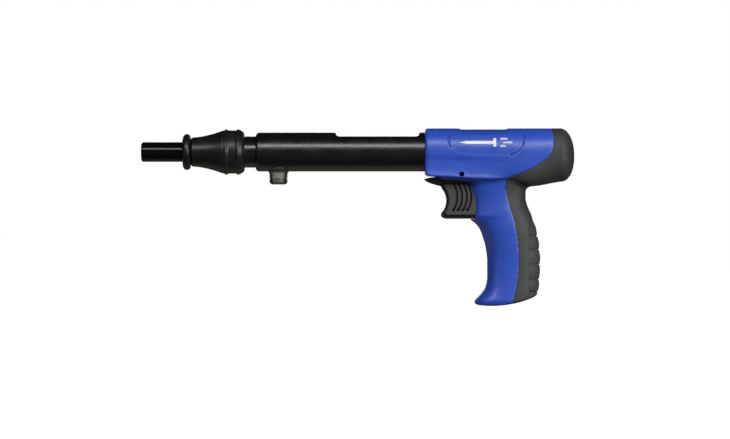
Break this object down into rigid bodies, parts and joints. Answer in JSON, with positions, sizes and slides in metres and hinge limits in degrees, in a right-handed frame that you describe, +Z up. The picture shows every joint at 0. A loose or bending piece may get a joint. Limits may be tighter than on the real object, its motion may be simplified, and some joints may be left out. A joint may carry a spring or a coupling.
{
  "type": "powder-actuated nail gun",
  "caption": "Tube-bodied powder-actuated nail gun: muzzle guide, sprung nose cone, sliding barrel, loading port, and a two-tone pistol grip with a trigger.",
  "frame": {"origin": "centre of the muzzle, where the fastener guide's bore opens, on the bore axis", "axes": "+X back along the bore from the muzzle to the housing; +Z up, away from the grip; +Y to the tool's right, so its left side faces -Y"},
  "size_m": [0.3462, 0.0388, 0.1418],
  "materials": {
    "black_steel": "gloss black oxide and oil",
    "dark_steel": "satin black",
    "bright_steel": "ground",
    "grey_steel": "bare, lightly worn",
    "spring_steel": "drawn wire",
    "buffer_rubber": "matt",
    "bumper_urethane": "matt",
    "trigger_plastic": "satin",
    "blue_plastic": "satin",
    "grey_rubber": "matt soft-touch"
  },
  "bodies": {
    "housing": {"receiver_tube": "black_steel", "retainer_boss": "grey_steel", "retainer_spring": "spring_steel", "spring_seat_ring": "bright_steel", "rebound_bumper": "bumper_urethane", "rear_plug": "bright_steel", "plug_pin": "dark_steel", "guide_pin": "dark_steel", "left_shell": "blue_plastic", "right_shell": "blue_plastic", "left_overmould": "grey_rubber", "right_overmould": "grey_rubber", "housing_screws": "dark_steel", "return_spring": "spring_steel", "hammer_spring": "spring_steel", "trigger_spring": "spring_steel"},
    "breech": {"breech_block": "bright_steel", "firing_pin_spring": "spring_steel"},
    "striker_pin": {"firing_pin": "bright_steel"},
    "barrel_group": {"barrel": "dark_steel", "nose_cone": "black_steel", "locking_collar": "dark_steel", "stop_disc": "bright_steel", "buffer_ring": "buffer_rubber", "stop_spring": "spring_steel", "detent_ring": "spring_steel"},
    "guide": {"fastener_guide": "black_steel"},
    "piston_group": {"piston": "bright_steel", "piston_rings": "bright_steel"},
    "extractor_claw": {"extractor": "bright_steel"},
    "hammer_weight": {"hammer": "bright_steel"},
    "trigger_group": {"trigger": "trigger_plastic", "sear_pin": "bright_steel", "sear_spring": "spring_steel"},
    "sear_lever": {"sear": "bright_steel"},
    "retainer": {"retainer_pin": "bright_steel", "retainer_cap": "grey_steel"}
  },
  "joints": [
    {"name": "press_slide", "type": "slide", "parent": "housing", "child": "breech", "axis": [1, 0, 0], "range_m": [0, 0.0085], "stiffness_N_per_m": 2500, "springref_m": -0.008, "deforming": ["return_spring"]},
    {"name": "barrel_slide", "type": "slide", "parent": "breech", "child": "barrel_group", "axis": [1, 0, 0], "range_m": [-0.064, 0]},
    {"name": "guide_slide", "type": "slide", "parent": "barrel_group", "child": "guide", "axis": [1, 0, 0], "range_m": [-0.004, 0], "stiffness_N_per_m": 900, "springref_m": 0.004, "deforming": ["stop_spring"]},
    {"name": "piston_slide", "type": "slide", "parent": "barrel_group", "child": "piston_group", "axis": [1, 0, 0], "range_m": [-0.112, 0]},
    {"name": "extractor_slide", "type": "slide", "parent": "barrel_group", "child": "extractor_claw", "axis": [1, 0, 0], "range_m": [0, 0.006]},
    {"name": "firing_pin_slide", "type": "slide", "parent": "breech", "child": "striker_pin", "axis": [1, 0, 0], "range_m": [-0.001, 0], "stiffness_N_per_m": 800, "springref_m": 0.002, "deforming": ["firing_pin_spring"]},
    {"name": "trigger_slide", "type": "slide", "parent": "housing", "child": "trigger_group", "axis": [1, 0, 0], "range_m": [0, 0.006], "stiffness_N_per_m": 900, "springref_m": -0.004, "deforming": ["trigger_spring"]},
    {"name": "hammer_slide", "type": "slide", "parent": "housing", "child": "hammer_weight", "axis": [1, 0, 0], "range_m": [0, 0.006], "stiffness_N_per_m": 1500, "springref_m": -0.004, "deforming": ["hammer_spring"]},
    {"name": "sear_pivot", "type": "hinge", "parent": "trigger_group", "child": "sear_lever", "pos_m": [0.263, 0, -0.02], "axis": [0, 1, 0], "range_deg": [0, 9], "stiffness_Nm_per_rad": 0.2, "springref_deg": -8.59, "deforming": ["sear_spring"]},
    {"name": "retainer_slide", "type": "slide", "parent": "housing", "child": "retainer", "axis": [0, 0, -1], "range_m": [0, 0.0024], "stiffness_N_per_m": 1200, "springref_m": -0.002, "deforming": ["retainer_spring"]}
  ],
  "couplings": [
    {"joint": "extractor_slide", "follows": "barrel_slide", "ratio": -0.09375},
    {"joint": "hammer_slide", "follows": "trigger_slide", "ratio": 1}
  ]
}
